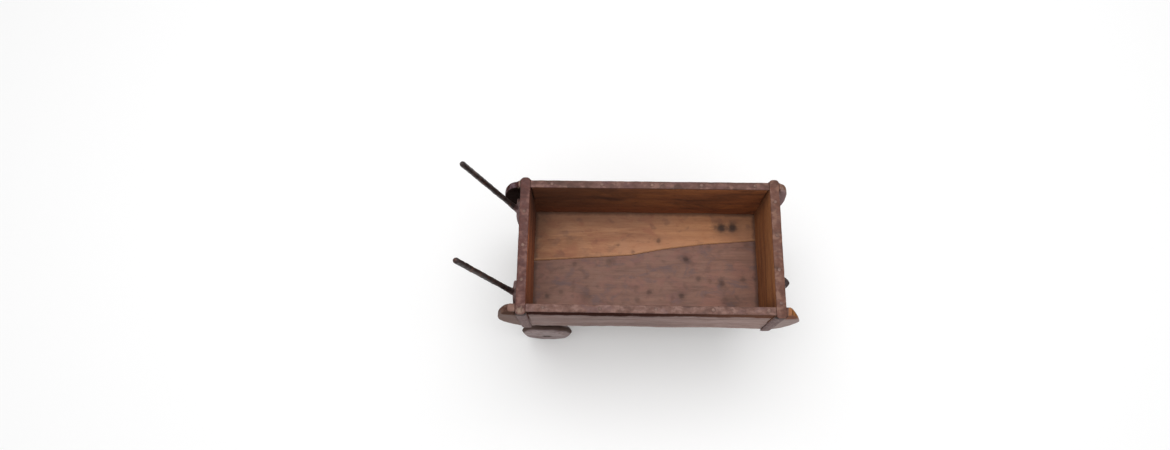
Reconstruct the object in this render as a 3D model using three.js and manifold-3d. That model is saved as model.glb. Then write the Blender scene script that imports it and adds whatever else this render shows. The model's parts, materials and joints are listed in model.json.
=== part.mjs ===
// A small hand barrow built from an old timber brick mould: an open box of four boards
// with rounded ears, an iron strip nailed round its rim, two floor boards nailed below,
// two rear wheels and one front wheel carried on iron straps, and two sloping iron handles.
// Millimetres, +Z up from the ground, +X forward, origin on the ground under the tray.
import * as THREE from 'three';
import { mergeVertices } from 'three/addons/utils/BufferGeometryUtils.js';
import Module from 'manifold-3d';

const wasm = await Module();
wasm.setup();

// ---- Driving dimensions
const GAP = 0.3; // clearance between faces that touch on the real object

const TRAY_LENGTH = 300; // over the outer faces of the end boards
const TRAY_WIDTH = 155.5; // over the outer faces of the side boards
const WALL_HEIGHT = 90;
const SIDE_THICKNESS = 9.9;
const END_THICKNESS = 12.2;
const END_GRAIN_PROUD = 3; // how far an end board runs out past each side board
// How far each rounded ear runs out past the end board, how long its flat top is, and how it
// falls away from there to its tip: 2 follows an ellipse, less is straighter.
const EARS = {
  right: { front: 23.2, rear: 25, flat: 8, fall: 1.4 },
  left: { front: 15.5, rear: 22.5, flat: 2, fall: 2 },
};

const RIM_HEIGHT = 208; // top of the iron strips above the ground
const STRIP_THICKNESS = 2;
const SIDE_STRIP_WIDTH = 9.4;
const END_STRIP_WIDTH = 11.4;
const STRIP_CORNER = 2.5;

const FLOOR_THICKNESS = 8;
const FLOOR_SET_IN = 3; // floor edge inside the outer faces of the walls
// The wandering joint between the two floor boards, seen from above, from rear to front.
const FLOOR_JOINT = [[-147, 4], [-86, 8.3], [-17, 13.5], [23, 21.5], [74, 28.5], [147, 34.6]];

const BATTEN = { width: 24, length: 116, thickness: 13, corner: 2 };
const WHEEL = { radius: 33.3, thickness: 14, edge: 6.2, bore: 3.4 };
const AXLE_RADIUS = 3;
const AXLE_HEAD = { radius: 4, thickness: 1.2 }; // end of the rear axle, hammered over
const COUNTERBORE = { radius: 4.6, depth: 1.8 };
const WASHER = { outer: 6.4, bore: 3.4, thickness: 1.4 };
const REAR_AXLE_X = -125;
const FRONT_AXLE_X = 165.7;
const FRONT_WHEEL_Y = -2.5; // the front wheel sits a little to the right of the middle

const STRAP_THICKNESS = 3;
const REAR_STRAP_WIDTH = 18;
const FORK_STRAP_WIDTH = 16;
const FOOT_LENGTH = 30; // foot of each strap, from the leg's far face
const FOOT_SCREWS = [11, 23]; // screw centres, from the leg's far face
const FORK_FOOT_X = 115;

const HANDLE = { radius: 3.3, lean: [-0.272, 0.962], spread: 50, start: [-153, -35] };
const HANDLE_FOOT = { radius: 4.1, overlap: 10, taper: 38 }; // overlap: how far it runs into the paddle
const PADDLE = { width: 28, thickness: 5, top: -20, bottom: -72, corner: 9 }; // heights from the rim
const PADDLE_SCREWS = [-48, -62]; // heights of the two screws, from the rim

const SCREW = { head: 3.7, headHeight: 2.2, shank: 1.7, length: 13, point: 3 };
const NAIL = { head: 2.2, shank: 1.1, length: 16, point: 2 };
const SIDE_NAILS = { right: [-119, -56, 6, 69, 130], left: [-113, -55, 3, 60, 122] };
const END_NAILS = { front: [-64, -26, 14, 54], rear: [-41, -1, 39] };

const SEGMENTS = { wheel: 36, axle: 20, rod: 16, washer: 16, screw: 12, pocket: 10, nail: 8 };
const ARC_STEPS = { ear: 12, strapEye: 10, paddle: 5, batten: 4, strip: 4 };

// ---- Levels and faces worked out from them
const WALL_TOP = RIM_HEIGHT - STRIP_THICKNESS - GAP;
const WALL_BOTTOM = WALL_TOP - WALL_HEIGHT;
const WALL_MIDDLE = (WALL_TOP + WALL_BOTTOM) / 2;
const FLOOR_TOP = WALL_BOTTOM - GAP;
const FLOOR_BOTTOM = FLOOR_TOP - FLOOR_THICKNESS;
const BATTEN_TOP = FLOOR_BOTTOM - GAP;
const BATTEN_BOTTOM = BATTEN_TOP - BATTEN.thickness;
const FOOT_TOP = BATTEN_BOTTOM - GAP;
const FOOT_BOTTOM = FOOT_TOP - STRAP_THICKNESS;
const END_X = (TRAY_LENGTH - END_THICKNESS) / 2; // middle of an end board
const SIDE_Y = (TRAY_WIDTH - SIDE_THICKNESS) / 2; // middle of a side board
const STRIP_Z = RIM_HEIGHT - STRIP_THICKNESS / 2;
const WHEEL_Y = TRAY_WIDTH / 2 - WHEEL.thickness / 2; // rear wheels flush with the side boards
const REAR_LEG_Y = WHEEL_Y - WHEEL.thickness / 2 - WASHER.thickness - 2 * GAP - STRAP_THICKNESS / 2;
const FORK_LEG_Y = WHEEL.thickness / 2 + WASHER.thickness + 2 * GAP + STRAP_THICKNESS / 2;
const FRONT_REACH = FRONT_AXLE_X + WHEEL.radius; // the handles reach as far back

// ---- Materials
const finish = (color, roughness, metalness) =>
  new THREE.MeshStandardMaterial({ color, roughness, metalness });
const WEATHERED_WOOD = [0x7f7068, 0.9, 0];
const DARK_WOOD = [0x5a3a26, 0.85, 0];
const FLOOR_GOLD = [0x96704f, 0.8, 0];
const FLOOR_MAUVE = [0x7a5f57, 0.85, 0];
const WHEEL_WOOD = [0x857a76, 0.9, 0];
const RUSTED_STRIP = [0x80584f, 0.75, 0.3];
const DARK_IRON = [0x2c211e, 0.6, 0.6];

// ---- Geometry helpers
const X = new THREE.Vector3(1, 0, 0);
const Y = new THREE.Vector3(0, 1, 0);
const Z = new THREE.Vector3(0, 0, 1);
// Where a drawing's right, up and out go: onto a plan, onto an end view, onto a side view.
const PLAN = new THREE.Matrix4().makeBasis(X, Y, Z);
const END_VIEW = new THREE.Matrix4().makeBasis(Y, Z, X);
const SIDE_VIEW = new THREE.Matrix4().makeBasis(X, Z, Y.clone().negate());

// A flat piece of the given outline, its thickness centred on the drawing.
function plate(shape, thickness, view, curveSegments = 1) {
  const options = { depth: thickness, bevelEnabled: false, curveSegments };
  return new THREE.ExtrudeGeometry(shape, options).translate(0, 0, -thickness / 2).applyMatrix4(view);
}

function polygon(points) {
  return new THREE.Shape(points.map(([x, y]) => new THREE.Vector2(x, y)));
}

function roundedRectangle(width, height, corner) {
  const [w, h] = [width / 2, height / 2];
  const shape = new THREE.Shape();
  shape.moveTo(-w + corner, -h);
  shape.lineTo(w - corner, -h);
  shape.absarc(w - corner, -h + corner, corner, -Math.PI / 2, 0);
  shape.lineTo(w, h - corner);
  shape.absarc(w - corner, h - corner, corner, 0, Math.PI / 2);
  shape.lineTo(-w + corner, h);
  shape.absarc(-w + corner, h - corner, corner, Math.PI / 2, Math.PI);
  shape.lineTo(-w, -h + corner);
  shape.absarc(-w + corner, -h + corner, corner, Math.PI, Math.PI * 1.5);
  return shape;
}

function turned(profile, segments) {
  return new THREE.LatheGeometry(profile.map(([r, y]) => new THREE.Vector2(r, y)), segments);
}

function toManifold(geometry) {
  const bare = new THREE.BufferGeometry();
  bare.setAttribute('position', geometry.getAttribute('position'));
  if (geometry.index) bare.setIndex(geometry.index);
  const merged = mergeVertices(bare, 1e-4);
  return new wasm.Manifold(new wasm.Mesh({
    numProp: 3,
    vertProperties: new Float32Array(merged.getAttribute('position').array),
    triVerts: new Uint32Array(merged.index.array),
  }));
}

function toGeometry(manifold) {
  const mesh = manifold.getMesh();
  const geometry = new THREE.BufferGeometry();
  geometry.setAttribute('position', new THREE.BufferAttribute(mesh.vertProperties, 3));
  geometry.setIndex(new THREE.BufferAttribute(mesh.triVerts, 1));
  geometry.computeVertexNormals();
  return geometry;
}

function cut(geometry, cutters) {
  const carved = cutters.reduce((body, tool) => body.subtract(toManifold(tool)), toManifold(geometry));
  return toGeometry(carved);
}

function join(geometry, ...others) {
  return toGeometry(others.reduce((body, other) => body.add(toManifold(other)), toManifold(geometry)));
}

function cylinder(radius, length, axis, segments, endRadius = radius) {
  const rod = new THREE.CylinderGeometry(endRadius, radius, length, segments);
  return rod.applyQuaternion(new THREE.Quaternion().setFromUnitVectors(Y, axis));
}

// ---- Scene graph
const barrow = new THREE.Group();

function add(name, geometry, look, position, rotation = [0, 0, 0]) {
  const mesh = new THREE.Mesh(geometry, finish(...look));
  mesh.name = name;
  mesh.position.set(...position);
  mesh.rotation.set(...rotation);
  barrow.add(mesh);
}

const SIDES = [['right', -1], ['left', 1]];
const ENDS = [['front', 1], ['rear', -1]];

// Hole for a nail driven down into a board's top edge, in that board's own frame.
function nailPocket(x, y, top) {
  const depth = NAIL.length - 1;
  return cylinder(NAIL.shank + GAP, 2 * depth, Z, SEGMENTS.nail).translate(x, y, top);
}

// ---- Side boards: rounded ears with flat tops, and a slot from the top over each end board
function sideBoard(ears, nailsX) {
  const half = WALL_HEIGHT / 2;
  const slotHalf = END_THICKNESS / 2 + GAP;
  const end = END_X + slotHalf; // the slots' outer edges, where the ears begin
  const [front, rear] = [ears.front - GAP, ears.rear - GAP];
  // From an ear's tip up to the end of its flat top.
  const shoulder = (reach) => Array.from({ length: ARC_STEPS.ear }, (_, i) => {
    const angle = ((i + 1) / ARC_STEPS.ear) * (Math.PI / 2);
    const [out, up] = [Math.cos(angle), Math.sin(angle)].map((part) => part ** (2 / ears.fall));
    return [end + ears.flat + (reach - ears.flat) * out, half * up];
  });
  const outline = new THREE.Shape();
  outline.moveTo(-end, -half);
  outline.lineTo(end, -half);
  outline.absellipse(end, 0, front, half, -Math.PI / 2, 0);
  shoulder(front).forEach(([x, z]) => outline.lineTo(x, z));
  for (const x of [END_X, -END_X]) {
    outline.lineTo(x + slotHalf, half);
    outline.lineTo(x + slotHalf, -GAP / 2);
    outline.lineTo(x - slotHalf, -GAP / 2);
    outline.lineTo(x - slotHalf, half);
  }
  shoulder(rear).reverse().forEach(([x, z]) => outline.lineTo(-x, z));
  outline.absellipse(-end, 0, rear, half, Math.PI, Math.PI * 1.5);
  const board = plate(outline, SIDE_THICKNESS, SIDE_VIEW, ARC_STEPS.ear);
  return cut(board, nailsX.map((x) => nailPocket(x, 0, half)));
}
for (const [side, sign] of SIDES) {
  const board = sideBoard(EARS[side], SIDE_NAILS[side]);
  add(`${side}_side_board`, board, WEATHERED_WOOD, [0, sign * SIDE_Y, WALL_MIDDLE]);
}

// ---- End boards: a slot from below under each side board, end grain standing proud
function endBoard(nailsY, handlesY) {
  const half = WALL_HEIGHT / 2;
  const reach = TRAY_WIDTH / 2 + END_GRAIN_PROUD;
  const slotHalf = SIDE_THICKNESS / 2 + GAP;
  const outline = polygon([
    [-reach, -half], [-SIDE_Y - slotHalf, -half], [-SIDE_Y - slotHalf, GAP / 2],
    [-SIDE_Y + slotHalf, GAP / 2], [-SIDE_Y + slotHalf, -half],
    [SIDE_Y - slotHalf, -half], [SIDE_Y - slotHalf, GAP / 2],
    [SIDE_Y + slotHalf, GAP / 2], [SIDE_Y + slotHalf, -half],
    [reach, -half], [reach, half], [-reach, half],
  ]);
  const pockets = nailsY.map((y) => nailPocket(0, y, half));
  for (const y of handlesY) {
    for (const fromRim of PADDLE_SCREWS) {
      const depth = SCREW.length - PADDLE.thickness;
      const hole = cylinder(SCREW.shank + GAP, depth, X, SEGMENTS.pocket);
      pockets.push(hole.translate((depth - END_THICKNESS) / 2, y, RIM_HEIGHT + fromRim - WALL_MIDDLE));
    }
  }
  return cut(plate(outline, END_THICKNESS, END_VIEW), pockets);
}
const HANDLES_Y = { front: [], rear: [-HANDLE.spread, HANDLE.spread] };
for (const [end, sign] of ENDS) {
  const board = endBoard(END_NAILS[end], HANDLES_Y[end]);
  add(`${end}_end_board`, board, DARK_WOOD, [sign * END_X, 0, WALL_MIDDLE]);
}

// ---- Floor: two boards meeting on a slanting joint, held by two battens
const floorX = TRAY_LENGTH / 2 - FLOOR_SET_IN;
const floorY = TRAY_WIDTH / 2 - FLOOR_SET_IN;
const jointEdge = (offset) => FLOOR_JOINT.map(([x, y]) => [x, y + offset]);
const FLOOR_OUTLINES = {
  right: [[-floorX, -floorY], [floorX, -floorY], ...jointEdge(-GAP / 2).reverse()],
  left: [...jointEdge(GAP / 2), [floorX, floorY], [-floorX, floorY]],
};
const FLOOR_LOOKS = { right: FLOOR_MAUVE, left: FLOOR_GOLD };
for (const [side] of SIDES) {
  const board = plate(polygon(FLOOR_OUTLINES[side]), FLOOR_THICKNESS, PLAN);
  add(`${side}_floor_board`, board, FLOOR_LOOKS[side], [0, 0, (FLOOR_TOP + FLOOR_BOTTOM) / 2]);
}

// Screw centres across the barrow for each batten: rear feet run inward, fork feet outward.
const REAR_SCREWS_Y = FOOT_SCREWS.map((d) => REAR_LEG_Y + STRAP_THICKNESS / 2 - d);
const FORK_SCREWS_Y = FOOT_SCREWS.map((d) => FORK_LEG_Y - STRAP_THICKNESS / 2 + d);

function batten(screwsY, middleY) {
  const outline = roundedRectangle(BATTEN.width, BATTEN.length, BATTEN.corner);
  const depth = SCREW.length - STRAP_THICKNESS;
  const pockets = screwsY.flatMap((y) => [middleY - y, middleY + y]).map((y) =>
    cylinder(SCREW.shank + GAP, depth, Z, SEGMENTS.pocket)
      .translate(0, y, (depth - BATTEN.thickness) / 2));
  return cut(plate(outline, BATTEN.thickness, PLAN, ARC_STEPS.batten), pockets);
}
const BATTEN_Z = (BATTEN_TOP + BATTEN_BOTTOM) / 2;
add('rear_batten', batten(REAR_SCREWS_Y, 0), DARK_WOOD, [REAR_AXLE_X, 0, BATTEN_Z]);
add('front_batten', batten(FORK_SCREWS_Y, FRONT_WHEEL_Y), DARK_WOOD, [FORK_FOOT_X, 0, BATTEN_Z]);

// ---- Rim strips and their nails, heads hammered flush
function nailHole(x, y) {
  const [bottom, top] = [NAIL.shank + GAP, NAIL.head + GAP];
  return cylinder(bottom, STRIP_THICKNESS + GAP, Z, SEGMENTS.nail, top).translate(x, y, 0);
}
const NAIL_PROFILE = [
  [0, 0], [NAIL.head, 0], [NAIL.shank, -STRIP_THICKNESS],
  [NAIL.shank, NAIL.point - NAIL.length], [0, -NAIL.length],
];
const nail = () => turned([...NAIL_PROFILE].reverse(), SEGMENTS.nail);
const UPRIGHT = [Math.PI / 2, 0, 0]; // turns a piece made along Y to stand along Z

// The strips cross at the corners in lap joints: each gives up half its thickness to the other.
function lapNotch(x, y, upper) {
  const size = [END_STRIP_WIDTH + 2 * GAP, SIDE_STRIP_WIDTH + 2 * GAP, STRIP_THICKNESS];
  const level = (STRIP_THICKNESS - GAP) / 2;
  return new THREE.BoxGeometry(...size).translate(x, y, upper ? level : -level);
}

const endStripLength = TRAY_WIDTH + 2 * END_GRAIN_PROUD;
for (const [end, sign] of ENDS) {
  const outline = roundedRectangle(END_STRIP_WIDTH, endStripLength, STRIP_CORNER);
  const bar = plate(outline, STRIP_THICKNESS, PLAN, ARC_STEPS.strip);
  const laps = [-SIDE_Y, SIDE_Y].map((y) => lapNotch(0, y, false));
  const strip = cut(bar, [...laps, ...END_NAILS[end].map((y) => nailHole(0, y))]);
  add(`${end}_rim_strip`, strip, RUSTED_STRIP, [sign * END_X, 0, STRIP_Z]);
  END_NAILS[end].forEach((y, i) => {
    add(`${end}_rim_nail_${i + 1}`, nail(), DARK_IRON, [sign * END_X, y, RIM_HEIGHT], UPRIGHT);
  });
}
for (const [side, sign] of SIDES) {
  const length = TRAY_LENGTH + 2 * EARS[side].flat; // out over the flat tops of the ears
  const outline = roundedRectangle(length, SIDE_STRIP_WIDTH, STRIP_CORNER);
  const bar = plate(outline, STRIP_THICKNESS, PLAN, ARC_STEPS.strip);
  const laps = [-END_X, END_X].map((x) => lapNotch(x, 0, true));
  const strip = cut(bar, [...laps, ...SIDE_NAILS[side].map((x) => nailHole(x, 0))]);
  add(`${side}_rim_strip`, strip, RUSTED_STRIP, [0, sign * SIDE_Y, STRIP_Z]);
  SIDE_NAILS[side].forEach((x, i) => {
    add(`${side}_rim_nail_${i + 1}`, nail(), DARK_IRON, [x, sign * SIDE_Y, RIM_HEIGHT], UPRIGHT);
  });
}

// ---- Screws: domed head at the origin, shank running down -Y
function screw() {
  return turned([
    [0, -SCREW.length], [SCREW.shank, SCREW.point - SCREW.length], [SCREW.shank, 0],
    [SCREW.head, 0], [SCREW.head * 0.8, SCREW.headHeight * 0.65], [0, SCREW.headHeight],
  ], SEGMENTS.screw);
}

// ---- Wheels: turned wooden discs with worn edges; the rear ones are counterbored outside
function wheel(counterbored) {
  const { radius, thickness, edge, bore } = WHEEL;
  const half = thickness / 2;
  const rounded = (centreY, from) => [0, 1, 2, 3].map((step) => {
    const angle = from + (step * Math.PI) / 6;
    return [radius - edge + edge * Math.cos(angle), centreY + edge * Math.sin(angle)];
  });
  const recessFloor = half - COUNTERBORE.depth;
  const outer = counterbored
    ? [[COUNTERBORE.radius, half], [COUNTERBORE.radius, recessFloor], [bore, recessFloor]]
    : [[bore, half]];
  const rim = [...rounded(edge - half, -Math.PI / 2), ...rounded(half - edge, 0)];
  return turned([[bore, -half], ...rim, ...outer, [bore, -half]], SEGMENTS.wheel);
}

function washer() {
  const { outer, bore, thickness } = WASHER;
  const half = thickness / 2;
  const corners = [[bore, -half], [outer, -half], [outer, half], [bore, half], [bore, -half]];
  return turned(corners, SEGMENTS.washer);
}

for (const [side, sign] of SIDES) {
  const turn = [0, 0, sign > 0 ? 0 : Math.PI];
  const washerOut = WHEEL.thickness / 2 + GAP + WASHER.thickness / 2;
  const rearWasherY = sign * (WHEEL_Y - washerOut);
  const frontWasherY = FRONT_WHEEL_Y + sign * washerOut;
  add(`rear_wheel_${side}`, wheel(true), WHEEL_WOOD, [REAR_AXLE_X, sign * WHEEL_Y, WHEEL.radius], turn);
  add(`rear_washer_${side}`, washer(), DARK_IRON, [REAR_AXLE_X, rearWasherY, WHEEL.radius]);
  add(`front_washer_${side}`, washer(), DARK_IRON, [FRONT_AXLE_X, frontWasherY, WHEEL.radius]);
}
add('front_wheel', wheel(false), WHEEL_WOOD, [FRONT_AXLE_X, FRONT_WHEEL_Y, WHEEL.radius]);

// ---- Rear axle: one rod, its ends hammered over in the wheels' counterbores
function rearAxle() {
  const seat = WHEEL_Y + WHEEL.thickness / 2 - COUNTERBORE.depth + GAP;
  const { radius, thickness } = AXLE_HEAD;
  return turned([
    [0, -seat - thickness], [radius * 0.6, -seat - thickness], [radius, -seat - thickness / 2],
    [radius, -seat], [AXLE_RADIUS, -seat], [AXLE_RADIUS, seat], [radius, seat],
    [radius, seat + thickness / 2], [radius * 0.6, seat + thickness], [0, seat + thickness],
  ], SEGMENTS.axle);
}
add('rear_axle', rearAxle(), DARK_IRON, [REAR_AXLE_X, 0, WHEEL.radius]);

// ---- Straps: a leg down to a round eye on the axle, and a foot bent over under the batten
function strap(width, rise, run, footSide) {
  const length = Math.hypot(rise, run);
  const along = [run / length, rise / length];
  const across = [along[1], -along[0]];
  const corner = (sign) => {
    const foot = [(sign * across[0] * width) / 2, (sign * across[1] * width) / 2];
    const reach = (rise - foot[1]) / along[1];
    return [foot[0] + along[0] * reach, rise];
  };
  const [frontTop, rearTop] = [corner(1), corner(-1)];
  const outline = new THREE.Shape();
  const start = Math.atan2(across[1], across[0]);
  outline.moveTo(...frontTop);
  outline.lineTo(...rearTop);
  outline.absarc(0, 0, width / 2, start + Math.PI, start + 2 * Math.PI);
  const leg = plate(outline, STRAP_THICKNESS, SIDE_VIEW, ARC_STEPS.strapEye);
  const footWidth = frontTop[0] - rearTop[0];
  const footX = (frontTop[0] + rearTop[0]) / 2;
  const nearFace = (-footSide * STRAP_THICKNESS) / 2;
  const foot = new THREE.BoxGeometry(footWidth, FOOT_LENGTH, STRAP_THICKNESS)
    .translate(footX, nearFace + (footSide * FOOT_LENGTH) / 2, rise - STRAP_THICKNESS / 2);
  const screwHoles = FOOT_SCREWS.map((d) =>
    cylinder(SCREW.shank + GAP, 3 * STRAP_THICKNESS, Z, SEGMENTS.screw)
      .translate(run, nearFace + footSide * d, rise));
  const eye = cylinder(AXLE_RADIUS + GAP, 3 * STRAP_THICKNESS, Y, SEGMENTS.axle);
  return cut(join(leg, foot), [eye, ...screwHoles]);
}
for (const [side, sign] of SIDES) {
  const rise = FOOT_TOP - WHEEL.radius;
  const hanger = strap(REAR_STRAP_WIDTH, rise, 0, -sign);
  add(`rear_axle_hanger_${side}`, hanger, DARK_IRON, [REAR_AXLE_X, sign * REAR_LEG_Y, WHEEL.radius]);
  const fork = strap(FORK_STRAP_WIDTH, rise, FORK_FOOT_X - FRONT_AXLE_X, sign);
  const forkY = FRONT_WHEEL_Y + sign * FORK_LEG_Y;
  add(`front_fork_${side}`, fork, DARK_IRON, [FRONT_AXLE_X, forkY, WHEEL.radius]);
  const underFoot = [-Math.PI / 2, 0, 0];
  REAR_SCREWS_Y.forEach((y, i) => {
    const place = [REAR_AXLE_X, sign * y, FOOT_BOTTOM - GAP];
    add(`rear_hanger_screw_${side}_${i + 1}`, screw(), DARK_IRON, place, underFoot);
  });
  FORK_SCREWS_Y.forEach((y, i) => {
    const place = [FORK_FOOT_X, FRONT_WHEEL_Y + sign * y, FOOT_BOTTOM - GAP];
    add(`front_fork_screw_${side}_${i + 1}`, screw(), DARK_IRON, place, underFoot);
  });
}

// ---- Front axle: a hexagon-headed bolt and nut through the fork
const HEX_RADIUS = 6.6;
const HEAD_HEIGHT = 4.5;
const BOLT_TAIL = 2.6; // thread showing past the nut
const forkOuter = FORK_LEG_Y + STRAP_THICKNESS / 2 + GAP;
function frontBolt() {
  const tip = forkOuter + HEAD_HEIGHT + BOLT_TAIL;
  const head = cylinder(HEX_RADIUS, HEAD_HEIGHT, Y, 6).translate(0, -forkOuter - HEAD_HEIGHT / 2, 0);
  const shankLength = tip + forkOuter + 1;
  const shank = cylinder(AXLE_RADIUS, shankLength, Y, SEGMENTS.axle).translate(0, tip - shankLength / 2, 0);
  return join(head, shank);
}
function frontNut() {
  const hole = cylinder(AXLE_RADIUS + GAP, 3 * HEAD_HEIGHT, Y, SEGMENTS.axle);
  return cut(cylinder(HEX_RADIUS, HEAD_HEIGHT, Y, 6), [hole]);
}
const nutY = FRONT_WHEEL_Y + forkOuter + HEAD_HEIGHT / 2;
add('front_axle_bolt', frontBolt(), DARK_IRON, [FRONT_AXLE_X, FRONT_WHEEL_Y, WHEEL.radius]);
add('front_axle_nut', frontNut(), DARK_IRON, [FRONT_AXLE_X, nutY, WHEEL.radius]);

// ---- Handles: round rods, each drawn out at its foot to a flat paddle screwed to the rear board
function handle() {
  const [leanX, leanZ] = HANDLE.lean;
  const [startX, startFromRim] = HANDLE.start;
  const boardFace = -TRAY_LENGTH / 2 - GAP;
  const { overlap, taper } = HANDLE_FOOT;
  const length = (FRONT_REACH - HANDLE.radius + startX) / -leanX + overlap;
  const dome = [0, 1, 2, 3].map((step) => {
    const angle = (step * Math.PI) / 6;
    return [step === 3 ? 0 : HANDLE.radius * Math.cos(angle), length + HANDLE.radius * Math.sin(angle)];
  });
  const along = new THREE.Vector3(leanX, 0, leanZ).normalize();
  const foot = [[0, 0], [HANDLE_FOOT.radius, 0], [HANDLE_FOOT.radius, overlap]];
  const rod = turned([...foot, [HANDLE.radius, overlap + taper], ...dome], SEGMENTS.rod)
    .applyQuaternion(new THREE.Quaternion().setFromUnitVectors(Y, along))
    .translate(startX - along.x * overlap, 0, startFromRim - along.z * overlap);
  const paddleHeight = PADDLE.top - PADDLE.bottom;
  const outline = roundedRectangle(PADDLE.width, paddleHeight, PADDLE.corner);
  const paddleX = boardFace - PADDLE.thickness / 2;
  const paddle = plate(outline, PADDLE.thickness, END_VIEW, ARC_STEPS.paddle)
    .translate(paddleX, 0, (PADDLE.top + PADDLE.bottom) / 2);
  // The space of the board itself, cut away from the sloping rod's foot.
  const boardSpace = new THREE.BoxGeometry(2 * END_THICKNESS, 2 * PADDLE.width, 2 * paddleHeight)
    .translate(boardFace + END_THICKNESS, 0, PADDLE.top);
  const screwHoles = PADDLE_SCREWS.map((z) =>
    cylinder(SCREW.shank + GAP, 4 * PADDLE.thickness, X, SEGMENTS.screw).translate(paddleX, 0, z));
  return cut(join(rod, paddle), [boardSpace, ...screwHoles]);
}
for (const [side, sign] of SIDES) {
  add(`handle_${side}`, handle(), DARK_IRON, [0, sign * HANDLE.spread, RIM_HEIGHT]);
  PADDLE_SCREWS.forEach((fromRim, i) => {
    const faceX = -TRAY_LENGTH / 2 - PADDLE.thickness - 2 * GAP;
    const place = [faceX, sign * HANDLE.spread, RIM_HEIGHT + fromRim];
    add(`handle_screw_${side}_${i + 1}`, screw(), DARK_IRON, place, [0, 0, Math.PI / 2]);
  });
}

export default barrow;
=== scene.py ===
# A small barrow made from an old timber brick mould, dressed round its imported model: worn
# boards, rusted rim strips and nails, turned wheels, strap-iron carriers and forged handles.
import json
import math
from functools import partialmethod

import bmesh
import bpy
import numpy as np
from mathutils import Matrix, Vector

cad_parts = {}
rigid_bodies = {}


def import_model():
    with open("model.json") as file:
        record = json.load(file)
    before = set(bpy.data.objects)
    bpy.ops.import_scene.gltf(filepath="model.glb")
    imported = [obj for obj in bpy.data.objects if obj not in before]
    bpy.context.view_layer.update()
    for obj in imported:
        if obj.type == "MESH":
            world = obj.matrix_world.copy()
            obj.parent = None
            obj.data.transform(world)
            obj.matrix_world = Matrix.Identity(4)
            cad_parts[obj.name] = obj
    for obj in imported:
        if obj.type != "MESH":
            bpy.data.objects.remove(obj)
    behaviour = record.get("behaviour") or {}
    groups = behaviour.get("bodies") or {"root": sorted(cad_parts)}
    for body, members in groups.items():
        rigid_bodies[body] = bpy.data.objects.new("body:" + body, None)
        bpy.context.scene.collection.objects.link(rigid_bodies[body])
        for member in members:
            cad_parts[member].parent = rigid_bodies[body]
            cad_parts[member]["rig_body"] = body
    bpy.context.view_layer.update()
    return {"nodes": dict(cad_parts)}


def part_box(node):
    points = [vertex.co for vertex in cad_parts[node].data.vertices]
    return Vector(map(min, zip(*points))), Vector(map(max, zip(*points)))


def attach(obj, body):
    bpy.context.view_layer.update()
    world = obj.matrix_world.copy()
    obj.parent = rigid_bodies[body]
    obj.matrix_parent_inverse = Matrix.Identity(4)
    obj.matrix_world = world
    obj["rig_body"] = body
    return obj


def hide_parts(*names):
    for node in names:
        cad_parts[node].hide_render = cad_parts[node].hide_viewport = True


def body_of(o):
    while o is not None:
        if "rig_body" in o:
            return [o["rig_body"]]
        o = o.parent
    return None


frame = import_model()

MM = 0.001
SIDES = {"right": -1, "left": 1}
ENDS = {"front": 1, "rear": -1}


# ---- Places taken from the frame ----
def low(node):
    return Vector(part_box(node)[0])


def high(node):
    return Vector(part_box(node)[1])


def middle(node):
    return (low(node) + high(node)) / 2


def nodes_with(word):
    return sorted(node for node in frame["nodes"] if word in node)


RIM_TOP = high("right_rim_strip").z
WALL_TOP = high("right_side_board").z
WALL_BOTTOM = low("right_side_board").z
FLOOR_TOP = high("right_floor_board").z
INNER_Y = low("left_side_board").y
INNER_X = low("front_end_board").x
OUTER_Y = high("left_side_board").y
OUTER_X = high("front_end_board").x
SIDE_MIDDLE = (INNER_Y + OUTER_Y) / 2
END_MIDDLE = (INNER_X + OUTER_X) / 2


# ---- Camera ----
AZIMUTH, ELEVATION, ROLL = 3.888, 72.866, -2.998  # degrees
FROM_RIM = Vector((-0.0567, -0.2284, 0.8183))  # from the middle of the tray at rim height
SENSOR, LENS = 36, 23.108  # mm


def add_camera():
    """A close, wide view from high above the tray's near side, turned a little on its axis."""
    data = bpy.data.cameras.new("camera")
    data.sensor_width = SENSOR
    data.lens = LENS
    camera = bpy.data.objects.new("camera", data)
    camera.matrix_world = Matrix.Translation(Vector((0, 0, RIM_TOP)) + FROM_RIM)
    for degrees, axis in ((AZIMUTH, "Z"), (90 - ELEVATION, "X"), (ROLL, "Z")):
        camera.matrix_world = camera.matrix_world @ Matrix.Rotation(math.radians(degrees), 4, axis)
    bpy.context.scene.collection.objects.link(camera)
    bpy.context.scene.camera = camera


add_camera()


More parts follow.
